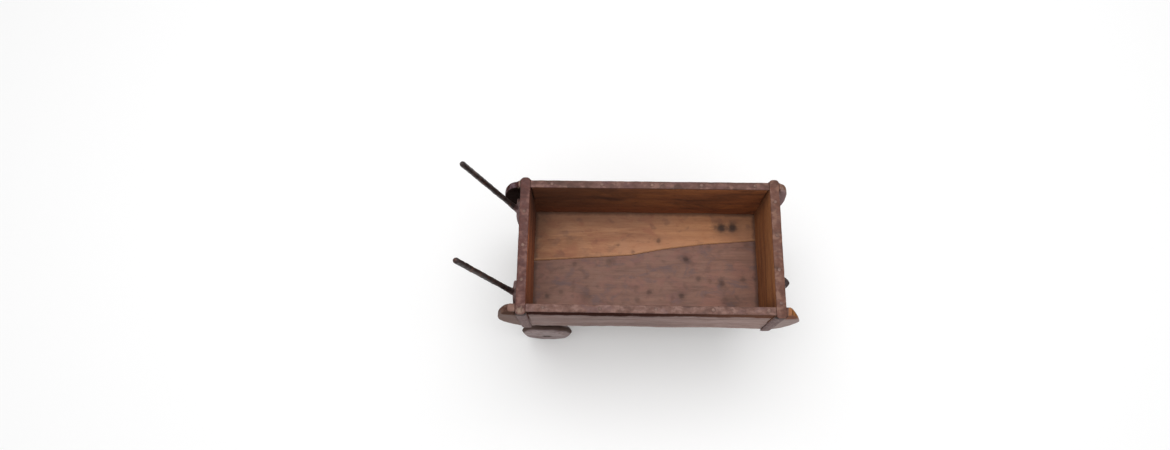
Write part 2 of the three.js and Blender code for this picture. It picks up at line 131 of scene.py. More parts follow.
# ---- Node-building helper ----
class Shader:
    """Short names for the shader nodes that the materials below are made of.

    Every noise is moved by shift, so that no two pieces are alike, and wood has a grain axis.
    """

    def __init__(self, name, shift=(0, 0, 0), grain_axis=0):
        self.shift = shift
        self.grain_axis = grain_axis
        self.material = bpy.data.materials.new(name)
        self.material.use_nodes = True
        self.nodes = self.material.node_tree.nodes
        self.links = self.material.node_tree.links
        self.place = self.add("TexCoord").outputs["Object"]

    def feed(self, node, inputs):
        """Links or sets a node's inputs, given by name or by number."""
        for socket, value in dict(inputs).items():
            if isinstance(value, bpy.types.NodeSocket):
                self.links.new(value, node.inputs[socket])
            else:
                node.inputs[socket].default_value = value

    def add(self, kind, inputs=(), **options):
        node = self.nodes.new(f"ShaderNode{kind}")
        for name, option in options.items():
            setattr(node, name, option)
        self.feed(node, inputs)
        return node

    def math(self, operation, a, b=0.0):
        return self.add("Math", enumerate((a, b)), operation=operation).outputs[0]

    times = partialmethod(math, "MULTIPLY")
    plus = partialmethod(math, "ADD")
    minus = partialmethod(math, "SUBTRACT")

    def vector(self, operation, a, b=(0, 0, 0)):
        node = self.add("VectorMath", enumerate((a, b)), operation=operation)
        return node.outputs["Value" if operation in ("LENGTH", "DISTANCE") else "Vector"]

    def axes(self):
        return self.add("SeparateXYZ", {0: self.place}).outputs

    def noise(self, scale, detail=2.0, roughness=0.5, distortion=0.0, shift=None):
        """Noise whose lumps are about 1/scale across, in metres, with one scale or three."""
        moved = self.vector("ADD", self.place, self.shift if shift is None else shift)
        place = self.vector("MULTIPLY", moved, scale if isinstance(scale, tuple) else (scale,) * 3)
        return self.add("TexNoise", {"Vector": place, "Scale": 1.0, "Detail": detail,
                                     "Roughness": roughness, "Distortion": distortion}).outputs["Fac"]

    def ragged(self, noise, size):
        """A noise turned into a shift of up to size/2 either way, for the edge of a stain."""
        return self.times(self.minus(noise, 0.5), size)

    def step(self, value, start, end, full=1.0, none=0.0):
        """Goes smoothly from none to full as value goes from start to end."""
        inputs = enumerate((value, start, end, none, full))
        return self.add("MapRange", inputs, interpolation_type="SMOOTHSTEP").outputs[0]

    def ramp(self, value, stops):
        node = self.add("ValToRGB", {0: value})
        elements = node.color_ramp.elements
        while len(elements) < len(stops):
            elements.new(1.0)
        for element, (position, colour) in zip(elements, stops):
            element.position = position
            element.color = rgba(colour)
        return node.outputs[0]

    def tones(self, value, colours, at=(0.3, 0.5, 0.7)):
        """A ramp through a few tones."""
        return self.ramp(value, list(zip(at, colours)))

    def mix(self, factor, a, b, blend="MIX"):
        inputs = {0: factor, 6: rgba(a), 7: rgba(b)}
        return self.add("Mix", inputs, data_type="RGBA", blend_type=blend).outputs[2]

    def tint(self, colour, tone, value, start, end, amount):
        """Mixes in an amount of a tone as value goes from start to end."""
        return self.mix(self.step(value, start, end, amount), colour, tone)

    def curved(self, colour, tone, start, end, amount):
        """Mixes in a tone by curvature: above 0.5 on outer edges, below 0.5 in hollows."""
        curvature = self.add("NewGeometry").outputs["Pointiness"]
        return self.tint(colour, tone, curvature, start, end, amount)

    def shade(self, colour, value, stops):
        """Darkens or lightens a colour by a ramp of factors."""
        return self.mix(1.0, colour, self.ramp(value, stops), "MULTIPLY")

    def bump(self, height, distance, strength=1.0, under=None):
        inputs = {"Strength": strength, "Distance": distance, "Height": height}
        if under:
            inputs["Normal"] = under
        return self.add("Bump", inputs).outputs[0]

    def finish(self, colour, roughness, normal, metallic=0.0, specular=0.5):
        self.feed(self.nodes["Principled BSDF"], {
            "Base Color": rgba(colour), "Roughness": roughness, "Normal": normal,
            "Metallic": metallic, "Specular IOR Level": specular})
        return self.material


def linear(channel):
    """Linear light from one sRGB channel between 0 and 1."""
    return channel / 12.92 if channel <= 0.04045 else ((channel + 0.055) / 1.055) ** 2.4


def rgba(value):
    """A colour from rrggbb text, one grey level or three linear numbers; a socket stays itself."""
    if isinstance(value, bpy.types.NodeSocket):
        return value
    if isinstance(value, str):
        value = [linear(int(value[i:i + 2], 16) / 255) for i in (0, 2, 4)]
    elif isinstance(value, float):
        value = [value] * 3
    return (*value, 1.0)


# ---- Meshes ----
def ripple(points, size, seed):
    """Smooth random numbers, about -1 to 1, that change over lengths of about size metres."""
    draw = np.random.default_rng(seed)
    total = np.zeros(len(points))
    waves = 14
    for _ in range(waves):
        direction = draw.normal(size=3)
        direction /= np.linalg.norm(direction)
        pitch = 2 * math.pi / (size * draw.uniform(0.7, 1.8))
        total += np.sin(points @ direction * pitch + draw.uniform(0, 2 * math.pi))
    return total / math.sqrt(waves)


def link(name, mesh, smooth=True):
    piece = bpy.data.objects.new(name, mesh)
    bpy.context.scene.collection.objects.link(piece)
    if smooth:
        mesh.shade_smooth()
    return piece


def closed_mesh(name, corners, faces):
    """A mesh from corners and faces, its faces turned to look outwards."""
    mesh = bpy.data.meshes.new(name)
    mesh.from_pydata([tuple(c) for c in corners], [], faces)
    build = bmesh.new()
    build.from_mesh(mesh)
    bmesh.ops.recalc_face_normals(build, faces=build.faces)
    build.to_mesh(mesh)
    build.free()
    return mesh


def tube(name, sections):
    """Joins a row of equal rings of points into one closed skin."""
    count = len(sections[0])
    corners = [p for section in sections for p in section]
    faces = [list(range(count)), [len(corners) - 1 - i for i in range(count)]]
    for a in range(0, len(corners) - count, count):
        for i in range(count):
            j = (i + 1) % count
            faces.append([a + i, a + j, a + count + j, a + count + i])
    return closed_mesh(name, corners, faces)


def slab(name, outline, place):
    """A flat board: an outline at two depths, 0 and 1, which place turns into points."""
    return tube(name, [[place(a, b, depth) for a, b in outline] for depth in (0, 1)])


def applied(piece):
    """A piece's mesh with its modifiers applied."""
    graph = bpy.context.evaluated_depsgraph_get()
    return bpy.data.meshes.new_from_object(piece.evaluated_get(graph))


def remeshed(mesh, voxel):
    """The same closed shape as an even net of small squares."""
    piece = link("remeshing", mesh, smooth=False)
    remesh = piece.modifiers.new("remesh", "REMESH")
    remesh.mode = "VOXEL"
    remesh.voxel_size = voxel
    even = applied(piece)
    bpy.data.objects.remove(piece)
    return even


def read_points(mesh, what="co"):
    """The places of a mesh's points, or with what="normal" their normals."""
    values = np.empty(len(mesh.vertices) * 3)
    mesh.vertices.foreach_get(what, values)
    return values.reshape(-1, 3)


def write_points(mesh, points):
    mesh.vertices.foreach_set("co", points.ravel())
    mesh.update()


def push(mesh, distance):
    """Moves each point along its normal by a distance of its own."""
    write_points(mesh, read_points(mesh) + read_points(mesh, "normal") * distance[:, None])


def relax(mesh, rounds, weight=None):
    """Wears edges round: each point moves towards the middle of its neighbours, by its weight."""
    points = read_points(mesh)
    edges = np.empty(len(mesh.edges) * 2, dtype=np.int64)
    mesh.edges.foreach_get("vertices", edges)
    a, b = edges.reshape(-1, 2).T
    ends = np.concatenate((a, b))
    others = np.concatenate((b, a))
    share = np.maximum(np.bincount(ends, minlength=len(points)), 1)[:, None]
    pull = 0.5 if weight is None else 0.5 * weight[:, None]
    for _ in range(rounds):
        around = np.stack([np.bincount(ends, points[others, k], len(points)) for k in range(3)], 1)
        points = points + (around / share - points) * pull
    write_points(mesh, points)


def keep_inside(mesh, lowest, highest):
    points = read_points(mesh)
    write_points(mesh, np.clip(points, np.array(lowest), np.array(highest)))


def finish_piece(name, mesh, body, *nodes):
    """Puts a mesh in the scene as a piece that rides on a body and stands for its nodes."""
    piece = link(name, mesh)
    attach(piece, body)
    if nodes:
        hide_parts(*nodes)
    return piece


WEAR_PATCH, WARP, KNOCK = 40 * MM, 55 * MM, 12 * MM  # how far apart these repeat on a board


def board(name, node, mesh, seed, voxel=1.5 * MM, sag=0.3 * MM, extra=None, crisp=None, hewn=None):
    """An old board: even mesh, rubbed edges, more worn in places, and a slightly uneven face.

    extra gives more wear, crisp keeps edges sharp and hewn moves points before the wear.
    """
    mesh = remeshed(mesh, voxel)
    if hewn:
        write_points(mesh, hewn(read_points(mesh)))
    points = read_points(mesh)
    free = 1 - crisp(points) if crisp else np.ones(len(points))
    worn = np.clip(ripple(points, WEAR_PATCH, seed) - 0.1, 0, 0.6)
    if extra:
        worn = np.maximum(worn, extra(points))
    relax(mesh, 2, 0.25 + 0.75 * free)
    relax(mesh, 7, worn * free)
    points = read_points(mesh)
    lift = ripple(points, WARP, seed + 100) * sag + ripple(points, KNOCK, seed + 200) * sag * 0.3
    push(mesh, (lift - sag) * free)
    keep_inside(mesh, *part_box(node))
    return finish_piece(name, mesh, "tray", node)


# ---- Tray boards ----
CLEAR = 0.3 * MM  # gap between boards in the frame
HALFWAY = (WALL_TOP + WALL_BOTTOM) / 2
BOARD_SEEDS = {"right": 11, "left": 23, "front": 31, "rear": 47}
FLOOR_SEEDS = {"right": 59, "left": 71}
BATTEN_SEEDS = {"front": 83, "rear": 97}
EAR_STEPS = 24
EAR_FALL = {"right": 1.4, "left": 2.0}  # 2 follows an ellipse, less is straighter
# The front right ear is the most worn: a short flat top, a higher tip, thinned from the inside.
WORN_EAR = {"flat": 5 * MM, "fall": 1.2, "rise": 7.3 * MM, "thin_from": 6 * MM, "tip_share": 0.3}


def ear(side, start_x, tip_x):
    """Round from the bottom of a board's end to the flat top that its rim strip runs out over."""
    flat, fall, tip_z = high(f"{side}_rim_strip").x - OUTER_X, EAR_FALL[side], HALFWAY
    if side == "right" and tip_x > 0:
        flat, fall, tip_z = WORN_EAR["flat"], WORN_EAR["fall"], HALFWAY + WORN_EAR["rise"]
    flat_x = start_x + math.copysign(flat, tip_x)
    for i in range(1, EAR_STEPS + 1):
        turn = math.pi * (i / EAR_STEPS - 0.5)
        from_x, end_z, power = (flat_x, WALL_TOP, 2 / fall) if turn > 0 else (start_x, WALL_BOTTOM, 1)
        out = abs(math.cos(turn)) ** power
        up = abs(math.sin(turn)) ** power
        yield from_x + (tip_x - from_x) * out, tip_z + (end_z - tip_z) * up


def thinned(points):
    """Hews the front right ear, and what lies on it, thinner from the inside towards the tip."""
    start, tip = OUTER_X + WORN_EAR["thin_from"], high("right_side_board").x
    share = 1 - (1 - WORN_EAR["tip_share"]) * np.clip((points[:, 0] - start) / (tip - start), 0, 1)
    outer = low("right_side_board").y
    points[:, 1] = outer + (points[:, 1] - outer) * share
    return points


def lapped(off_middle, thick, reach, fade):
    """1 where a board passes its neighbour's middle, fading to 0 beyond half of its thickness."""
    return np.clip(1 - (np.abs(off_middle) - thick / 2 - reach) / fade, 0, 1)


def side_board(side):
    node = f"{side}_side_board"
    slot_in, slot_out = INNER_X - CLEAR, OUTER_X + CLEAR
    outline = [(-slot_out, WALL_BOTTOM), (slot_out, WALL_BOTTOM),
               *ear(side, slot_out, high(node).x)]
    for a, b in ((slot_out, slot_in), (-slot_in, -slot_out)):
        outline += [(a, WALL_TOP), (a, HALFWAY), (b, HALFWAY), (b, WALL_TOP)]
    outline += list(ear(side, -slot_out, low(node).x))[::-1]
    depths = (low(node).y, high(node).y)
    mesh = slab(node, outline, lambda x, z, k: (x, depths[k], z))

    def rubbed_ears(points):
        return np.clip((np.abs(points[:, 0]) - OUTER_X - 5 * MM) / (8 * MM), 0, 1) * 0.25

    def in_joint(points):
        return lapped(np.abs(points[:, 0]) - END_MIDDLE, OUTER_X - INNER_X, 2 * MM, 3 * MM)

    return board(f"{side}_side", node, mesh, BOARD_SEEDS[side], extra=rubbed_ears, crisp=in_joint,
                 hewn=thinned if side == "right" else None)


def end_board(end):
    node = f"{end}_end_board"
    reach = high(node).y
    slot_in, slot_out = INNER_Y - CLEAR, OUTER_Y + CLEAR
    outline = [(-reach, WALL_BOTTOM), (-slot_out, WALL_BOTTOM), (-slot_out, HALFWAY),
               (-slot_in, HALFWAY), (-slot_in, WALL_BOTTOM), (slot_in, WALL_BOTTOM),
               (slot_in, HALFWAY), (slot_out, HALFWAY), (slot_out, WALL_BOTTOM),
               (reach, WALL_BOTTOM), (reach, WALL_TOP), (-reach, WALL_TOP)]
    depths = (low(node).x, high(node).x)
    mesh = slab(node, outline, lambda y, z, k: (depths[k], y, z))

    def in_joint(points):
        return lapped(np.abs(points[:, 1]) - SIDE_MIDDLE, OUTER_Y - INNER_Y, 1 * MM, 1.5 * MM)

    return board(f"{end}_end", node, mesh, BOARD_SEEDS[end], crisp=in_joint)


def joint_line():
    """The wandering line where the two floor boards meet, from rear to front."""
    node = "left_floor_board"
    edge = {(round(v.co.x, 5), round(v.co.y, 5)) for v in frame["nodes"][node].data.vertices}
    return sorted((x, y - CLEAR / 2) for x, y in edge if y < high(node).y - 1 * MM)


def floor_board(side):
    node = f"{side}_floor_board"
    line = joint_line()
    (x0, y0, z0), (x1, y1, z1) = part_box(node)
    corners = [*line, (x1, y1), (x0, y1)] if side == "left" else [(x0, y0), (x1, y0), *line[::-1]]
    mesh = slab(node, corners, lambda x, y, k: (x, y, (z0, z1)[k]))
    joint_x, joint_y = np.array(line).T

    def at_joint(points):
        """The boards were planed together, so their faces meet level and tight along the joint."""
        off = np.abs(points[:, 1] - np.interp(points[:, 0], joint_x, joint_y))
        return np.clip(1.2 - off / (4 * MM), 0, 1)

    return board(f"{side}_floor", node, mesh, FLOOR_SEEDS[side], sag=0.2 * MM, crisp=at_joint)


def batten_bar(end):
    node = f"{end}_batten"
    (x0, y0, z0), (x1, y1, z1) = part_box(node)
    mesh = slab(node, [(x0, y0), (x1, y0), (x1, y1), (x0, y1)], lambda x, y, k: (x, y, (z0, z1)[k]))
    return board(f"{end}_cross_batten", node, mesh, BATTEN_SEEDS[end], voxel=1.2 * MM)


side_boards = {side: side_board(side) for side in SIDES}
end_boards = {end: end_board(end) for end in ENDS}
floor_boards = {side: floor_board(side) for side in SIDES}
battens = {end: batten_bar(end) for end in ENDS}


# ---- Sweeps, lathes and forgings ----
def rounded_section(width, height, corner, per_corner=4, per_top=6):
    """Points round a flat bar's section, with extra points along its wide faces."""
    points = []
    w, h = width / 2 - corner, height / 2 - corner
    for quarter, (cx, cy) in enumerate(((w, h), (-w, h), (-w, -h), (w, -h))):
        for i in range(per_corner + 1):
            turn = math.pi / 2 * (quarter + i / per_corner)
            points.append((cx + corner * math.cos(turn), cy + corner * math.sin(turn)))
        if quarter % 2 == 0:
            sign = 1 if quarter == 0 else -1
            points += [(sign * w * (1 - 2 * i / per_top), sign * height / 2) for i in range(1, per_top)]
    return points


def lathe(name, profile, centre, axis, steps):
    """Turns a profile of (radius, place along the axis), in mm, round an axis through centre."""
    axis = Vector(axis)
    across = axis.orthogonal().normalized()
    beside = axis.cross(across)
    turns = [2 * math.pi * i / steps for i in range(steps)]
    spokes = [across * math.cos(turn) + beside * math.sin(turn) for turn in turns]
    corners, faces, rings = [], [], []
    for radius, along in profile:
        first = len(corners)
        if radius > 0:
            corners += [centre + (axis * along + spoke * radius) * MM for spoke in spokes]
            rings.append(range(first, first + steps))
        else:
            corners.append(centre + axis * along * MM)
            rings.append([first] * steps)
    pairs = list(zip(rings, rings[1:]))
    if profile[0][0] > 0:
        pairs.append((rings[-1], rings[0]))
    for one, two in pairs:
        for i in range(steps):
            j = (i + 1) % steps
            faces.append(list(dict.fromkeys((one[i], one[j], two[j], two[i]))))
    return closed_mesh(name, corners, faces)


def forged(name, node, voxel, rounds, dents, seed):
    """A wrought-iron part: the frame's shape with edges and inner corners hammered round."""
    mesh = remeshed(frame["nodes"][node].data.copy(), voxel)
    relax(mesh, rounds)
    push(mesh, ripple(read_points(mesh), 7 * MM, seed) * dents - dents)
    keep_inside(mesh, *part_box(node))
    return finish_piece(name, mesh, "tray", node)


# ---- Rim strips and their nails ----
STRIP_PITCHES = (0.021, 0.034, 0.055, 0.089, 0.144)  # metres between the waves of a hand-cut edge
STRIP_CORNERS = (2.5 * MM, 3.6 * MM)  # rounded ends of the side strips and of the end strips
STRIP_ENDS = [s * MM for s in (0.0, 0.2, 0.6, 1.2, 2, 3, 4)]  # close stations near a strip's end
STRIP_STEP = 2.5 * MM
EDGE_WAVER, TOP_WAVER, CROWN, BEATEN = 0.14 * MM, 0.08 * MM, 0.16 * MM, 0.07 * MM


def strip_stations(start, length, lap):
    """Places along a strip: close together at its ends and at the steps of its laps."""
    steps = round(length / STRIP_STEP)
    between = length - 2 * STRIP_ENDS[-1]
    stations = STRIP_ENDS + [length - s for s in STRIP_ENDS]
    stations += [STRIP_ENDS[-1] + between * i / steps for i in range(1, steps)]
    stations += [sign * edge - start + step * MM
                 for sign in (-1, 1) for edge in lap for step in (-0.3, -0.03, 0.03, 0.3)]
    return sorted(s for s in stations if 0 <= s <= length)


def rim_strip(place, along, seed):
    """A strip cut by hand from thin sheet: wavering edges, rounded ends, lapped at the corners."""
    node = f"{place}_rim_strip"
    start, end = low(node), high(node)
    across = 1 - along
    length = end[along] - start[along]
    width = end[across] - start[across]
    thick = end.z - start.z
    other = "front_rim_strip" if along == 0 else "left_rim_strip"
    lap = (low(other)[along] - CLEAR, high(other)[along] + CLEAR)
    corner = STRIP_CORNERS[along]
    phases = np.random.default_rng(seed).uniform(0, 2 * math.pi, (4, len(STRIP_PITCHES)))

    def waver(row, s):
        waves = (math.sin(2 * math.pi * s / p + f) for p, f in zip(STRIP_PITCHES, phases[row]))
        return sum(waves) / len(STRIP_PITCHES)

    sections = []
    for s in strip_stations(start[along], length, lap):
        past_corner = max(corner - min(s, length - s), 0)
        pinch = corner - math.sqrt(corner ** 2 - past_corner ** 2)
        left, right = (width / 2 - pinch - EDGE_WAVER * (1 + waver(row, s)) for row in (0, 1))
        bottom, top = start.z, end.z - TOP_WAVER * (1 + waver(2, s))
        if lap[0] < abs(start[along] + s) < lap[1]:
            if along == 0:
                top = start.z + (thick - CLEAR) / 2
            else:
                bottom = start.z + (thick + CLEAR) / 2
        tall = top - bottom
        ring = []
        for u, v in rounded_section(left + right, tall, min(0.75 * MM, tall / 2.2)):
            u += (right - left) / 2
            crown = CROWN * (2 * abs(u) / (left + right)) ** 3 if v > 0 else 0
            point = [0.0, 0.0, (top + bottom) / 2 + v - crown]
            point[along] = start[along] + s
            point[across] = (start[across] + end[across]) / 2 + u
            ring.append(tuple(point))
        sections.append(ring)
    mesh = tube(node, sections)
    push(mesh, ripple(read_points(mesh), 9 * MM, seed + 5) * BEATEN - BEATEN)
    if place == "right":
        fit_to_worn_ear(mesh, end.x)
    keep_inside(mesh, start, end)
    return finish_piece(f"{place}_strip", mesh, "tray", node)


def fit_to_worn_ear(mesh, tip_x):
    """Shortens the right strip's front end to the worn ear's flat, and narrows it with the ear."""
    points = read_points(mesh)
    past = np.clip(points[:, 0] - OUTER_X - MM, 0, None)
    points[:, 0] -= past * (tip_x - OUTER_X - WORN_EAR["flat"]) / (tip_x - OUTER_X - MM)
    write_points(mesh, thinned(points))


def nail_head(node, seed):
    """A hammered nail head standing a little proud of its strip, on a short shank."""
    draw = np.random.default_rng(seed)
    at = middle(node)
    radius = draw.uniform(1.75, 2.15)
    proud = draw.uniform(0.35, 0.6)
    profile = [(0, -14), (1, -11), (1, -1.8), (radius * 0.9, -0.3), (radius, 0.02),
               (radius * 0.93, proud * 0.55), (radius * 0.7, proud * 0.88),
               (radius * 0.35, proud), (0, proud * 0.97)]
    mesh = lathe(node, profile, Vector((at.x, at.y, high(node).z)), (0, 0, 1), 20)
    points = read_points(mesh)
    dents = ripple(points, 2.2 * MM, seed) * 0.16
    spread = (points - np.array(at)) * (1, 1, 0)
    write_points(mesh, points + spread * (dents / radius)[:, None])
    return finish_piece(f"{node}_head", mesh, "tray", node)


strips = {side: rim_strip(side, 0, 201 + sign) for side, sign in SIDES.items()}
strips.update({end: rim_strip(end, 1, 211 + sign) for end, sign in ENDS.items()})
rim_nails = [nail_head(node, 300 + i) for i, node in enumerate(nodes_with("_rim_nail_"))]


# ---- Wheels, axles and washers ----
ACROSS = Vector((0, 1, 0))
BORE = 3.4  # mm
TREAD_ROUND = 6.2  # mm in from the tread, where a wheel's faces start to round off
FRONT_WEAR, REAR_WEAR = 0.85 * MM, 0.45 * MM  # at the tread
HUB = 10  # mm, inside which a wheel isn't worn
SCORED_RINGS = (4, 9)  # of the rings on a wheel's face, those cut deeper by the turner
FACE_RINGS = 12
TREAD_STEPS = 10


def measure(node):
    """A round node's middle, and half its width and its radius in mm."""
    centre = middle(node)
    size = (high(node) - low(node)) / 2 / MM
    return centre, size.y, size.z


def wheel_face(half, radius, sign, outside):
    """From the bore out to where the tread's rounding starts, with a pocket on the outside."""
    if outside:
        row = [(BORE, half - 1.8), (4.2, half - 1.8), (4.6, half - 1.4), (4.6, half - 0.7), (5.3, half)]
    else:
        row = [(BORE, half - 0.5), (BORE + 0.6, half)]
    start = row[-1][0]
    for i in range(1, FACE_RINGS + 1):
        sunk = 0.28 if i in SCORED_RINGS else 0.05
        row.append((start + (radius - TREAD_ROUND - start) * i / FACE_RINGS, half - sunk))
    return [(r, sign * along) for r, along in row]


def turned_wheel(node, seed):
    """A turned disc: rubbed tread edges, fine tool rings on its faces, a little out of true."""
    centre, half, radius = measure(node)
    outside = 0 if node == "front_wheel" else math.copysign(1, centre.y)
    tread = [(radius - TREAD_ROUND * (1 - i / TREAD_STEPS) ** 1.55, half * (1 - i / TREAD_STEPS))
             for i in range(1, TREAD_STEPS)]
    profile = wheel_face(half, radius, 1, outside == 1) + tread + [(radius, 0.0)]
    profile += [(r, -along) for r, along in tread[::-1]]
    profile += wheel_face(half, radius, -1, outside == -1)[::-1]
    mesh = lathe(node, profile, centre, ACROSS, 120)
    points = read_points(mesh)
    spoke = (points - np.array(centre)) * (1, 0, 1)
    far = np.clip((np.linalg.norm(spoke, axis=1) / MM - HUB) / (radius - HUB), 0, 1)
    wear = FRONT_WEAR if node == "front_wheel" else REAR_WEAR
    push(mesh, (ripple(points, 16 * MM, seed) * 0.3 * MM - wear) * far)
    keep_inside(mesh, *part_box(node))
    return finish_piece(f"{node}_disc", mesh, body_of(frame["nodes"][node])[0], node)


def ring_washer(node, seed):
    centre, half, outer = measure(node)
    soft = 0.3
    profile = [(BORE, -half + soft), (BORE + soft, -half), (outer - soft, -half), (outer, -half + soft),
               (outer, half - soft), (outer - soft, half), (BORE + soft, half), (BORE, half - soft)]
    mesh = lathe(node, profile, centre, ACROSS, 40)
    push(mesh, -(0.06 * MM + ripple(read_points(mesh), 5 * MM, seed) * 0.05 * MM))
    return finish_piece(f"{node}_ring", mesh, body_of(frame["nodes"][node])[0], node)


def axle_rod(node, seed):
    """The rear axle, its ends hammered over like rivets."""
    centre, half, _ = measure(node)
    end = [(3, half - 1.2), (3.7, half - 1.2), (4, half - 0.9), (3.84, half - 0.6),
           (3.2, half - 0.3), (2, half - 0.05), (0, half)]
    rod = [(3, half * k) for k in (-0.9, -0.6, -0.3, 0, 0.3, 0.6, 0.9)]
    mesh = lathe(node, [(r, -a) for r, a in end[::-1]] + rod + end, centre, ACROSS, 40)
    points = read_points(mesh)
    at_end = np.clip(np.abs(points[:, 1]) / MM - half + 1.6, 0, 1)
    push(mesh, (ripple(points, 3 * MM, seed) - 1) * 0.12 * MM * at_end)
    return finish_piece(f"{node}_rod", mesh, "tray", node)


WHEEL_NODES = ("rear_wheel_right", "rear_wheel_left", "front_wheel")
wheels = {node: turned_wheel(node, 411 + i) for i, node in enumerate(WHEEL_NODES)}
axle = axle_rod("rear_axle", 401)
washers = [ring_washer(node, 421 + i) for i, node in enumerate(nodes_with("washer"))]


# ---- Straps, handles and screws ----
STRAP_NODES = ("rear_axle_hanger_right", "rear_axle_hanger_left", "front_fork_right", "front_fork_left")
BOLT_NODES = ("front_axle_bolt", "front_axle_nut")
straps = [forged(f"{node}_strap", node, 0.8 * MM, 3, 0.12 * MM, 431 + i)
          for i, node in enumerate(STRAP_NODES)]
bolts = [forged(f"{node}_piece", node, 0.5 * MM, 2, 0.05 * MM, 441 + i)
         for i, node in enumerate(BOLT_NODES)]
handles = [forged(f"handle_{side}_bar", f"handle_{side}", 0.7 * MM, 4, 0.14 * MM, 451 + sign)
           for side, sign in SIDES.items()]

SCREW_HEAD, SCREW_SHANK, SCREW_EDGE = 2.2, 1.7, 0.7  # in mm: height, radius, rim height
DOME_STEPS = 7


def screw_seat(node):
    """Where a screw's head meets the surface, the way it faces, and its radius and length in mm."""
    corners = [v.co.copy() for v in frame["nodes"][node].data.vertices]
    size = high(node) - low(node)
    axis = max(range(3), key=lambda k: size[k])
    seat = middle(node)
    spread = [(v - seat).length_squared - (v - seat)[axis] ** 2 for v in corners]
    rim = [v[axis] for v, s in zip(corners, spread) if s > max(spread) * 0.9]
    rim_at = sum(rim) / len(rim)
    facing = Vector([0, 0, 0])
    facing[axis] = 1 if rim_at > seat[axis] else -1
    seat[axis] = rim_at
    return seat, facing, math.sqrt(max(spread)) / MM, size[axis] / MM - SCREW_HEAD


def cut_slot(piece, seat, facing, head, turn):
    """Cuts a screwdriver slot across a head, turned by an angle of its own."""
    first = facing.orthogonal().normalized()
    along = first * math.cos(turn) + facing.cross(first) * math.sin(turn)
    beside = facing.cross(along)
    blade = [seat + (along * a * head * 1.3 + beside * b + facing * c) * MM
             for a in (-1, 1) for b in (-0.5, 0.5) for c in (1.2, 4)]
    faces = [(0, 1, 3, 2), (4, 6, 7, 5), (0, 4, 5, 1), (2, 3, 7, 6), (0, 2, 6, 4), (1, 5, 7, 3)]
    cutter = link("blade", closed_mesh("blade", blade, faces), smooth=False)
    groove = piece.modifiers.new("slot", "BOOLEAN")
    groove.operation = "DIFFERENCE"
    groove.object = cutter
    groove.solver = "EXACT"
    cut = applied(piece)
    piece.modifiers.clear()
    piece.data = cut
    bpy.data.objects.remove(cutter)
    cut.set_sharp_from_angle(angle=math.radians(40))


def slotted_screw(node, seed):
    """A domed wood screw with a slot, in the place and direction of the frame's screw."""
    seat, facing, head, length = screw_seat(node)
    profile = [(0, -length), (SCREW_SHANK * 0.5, -length + 2), (SCREW_SHANK, -length + 3),
               (SCREW_SHANK, -0.1), (head - 0.3, 0), (head, 0.3), (head * 0.97, SCREW_EDGE)]
    for i in range(1, DOME_STEPS + 1):
        turn = math.pi / 2 * i / DOME_STEPS
        radius = head * 0.97 * math.cos(turn) if i < DOME_STEPS else 0
        profile.append((radius, SCREW_EDGE + (SCREW_HEAD - 0.8) * math.sin(turn)))
    piece = finish_piece(f"{node}_head", lathe(node, profile, seat, facing, 32), "tray", node)
    cut_slot(piece, seat, facing, head, np.random.default_rng(seed).uniform(0, math.pi))
    return piece


def floor_nail(i, x, y):
    """A clenched nail head under the floor, where its boards are nailed up into the walls."""
    radius = np.random.default_rng(500 + i).uniform(2.0, 2.5)
    profile = [(0, -7), (1.1, -6), (1.1, -0.3), (radius, -0.05), (radius, 0.35),
               (radius * 0.75, 0.7), (radius * 0.4, 0.85), (0, 0.9)]
    seat = Vector((x, y, low("right_floor_board").z + 0.25 * MM))
    mesh = lathe("floor_nail", profile, seat, (0, 0, -1), 18)
    return finish_piece(f"floor_nail_{i + 1}", mesh, "tray")


screws = [slotted_screw(node, 461 + i) for i, node in enumerate(nodes_with("screw"))]
nail_places = [(x, sign * (SIDE_MIDDLE - 1.5 * MM)) for sign in (-1, 1)
               for x in (-0.095, -0.035, 0.03, 0.085)]
nail_places += [(sign * (END_MIDDLE - 1 * MM), y) for sign in (-1, 1) for y in (-0.048, -0.012, 0.045)]
under_nails = [floor_nail(i, x, y) for i, (x, y) in enumerate(nail_places)]


# ---- Wood ----
# Lengths are in metres and noise scales are per metre. Tones are rrggbb.
ALONG_Y = 1  # the grain axis of what lies across the barrow; the rest is along X, 0
UNMOVED = (0, 0, 0)
GRAIN_STOPS = (0.25, 0.45, 0.62, 0.8)
HALF_THICK = (OUTER_Y - INNER_Y) / 2
# Hollows darken partly from dirt and partly as painted shade where little light reaches.
DIRT_AND_SHADE_IN_HOLLOWS = (0.5, 0.42)  # curvature where it starts and where it is full


def stretched(s, along, across):
    """Noise scale for what runs with the grain."""
    return tuple(along if k == s.grain_axis else across for k in range(3))


def grain_tone(s, tones, figure=70, wander=1.2, lines=0.4, fine=0.2, at=GRAIN_STOPS):
    """Broad bands of colour along the grain, a few darker growth lines, and fine fibres."""
    broad = s.noise(stretched(s, 5, figure), 4, 0.6, wander)
    rings = s.noise(stretched(s, 3.5, figure * 3.2), 3, 0.55, 0.8)
    fibre = s.noise(stretched(s, 28, 1100), 3, 0.6, 0.2)
    growth = s.step(rings, 0.5, 0.72, lines)
    colour = s.mix(growth, s.tones(broad, tones, at), (0.45, 0.38, 0.34), "MULTIPLY")
    return s.shade(colour, fibre, [(0.3, 1 - fine), (0.7, 1 + fine)]), (rings, fibre)


def pores(s):
    """Short dark dashes where open pores hold dirt."""
    return s.step(s.noise(stretched(s, 90, 1500), 2, 0.5), 0.62, 0.7)


